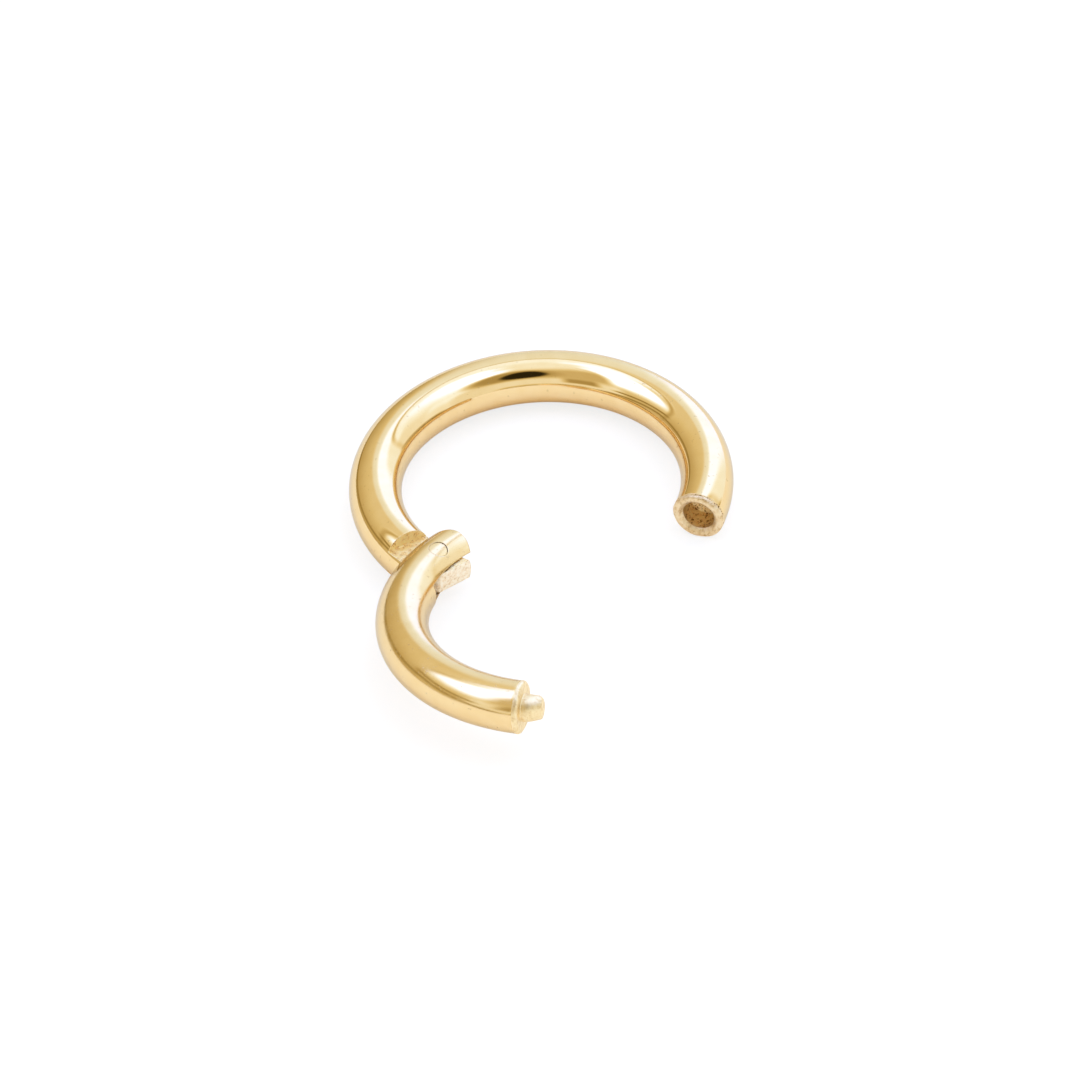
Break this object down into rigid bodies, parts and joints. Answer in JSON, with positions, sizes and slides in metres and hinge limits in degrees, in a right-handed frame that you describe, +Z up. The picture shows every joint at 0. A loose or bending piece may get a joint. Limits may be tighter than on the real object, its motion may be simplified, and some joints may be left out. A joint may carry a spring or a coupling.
{
  "type": "clicker ring",
  "caption": "Hoop of round polished gold wire for a piercing, with a short arc that swings open on a riveted fork hinge and closes with a peg in a socket.",
  "frame": {"origin": "on the resting plane, under the centre of the closed ring", "axes": "+Z up along the ring's axis, +Y away from the viewer towards the middle of the long arc, +X right; the hinge is at 228 degrees and the socket at 337.5 degrees, counted counter-clockwise from +X seen from above"},
  "size_m": [0.0088, 0.0134, 0.002],
  "materials": {
    "gold": "mirror-polished 14 carat yellow gold, with rough cut faces at the hinge, the socket and the peg"
  },
  "bodies": {
    "hoop": {"ring_body": "gold"},
    "segment": {"hinged_segment": "gold", "hinge_pin": "gold"}
  },
  "joints": [
    {"name": "segment_hinge", "type": "hinge", "parent": "hoop", "child": "segment", "pos_m": [-0.00245, -0.00272, 0.0006], "axis": [0.0688, 0.0764, 0.9947], "range_deg": [-8, 85]}
  ]
}
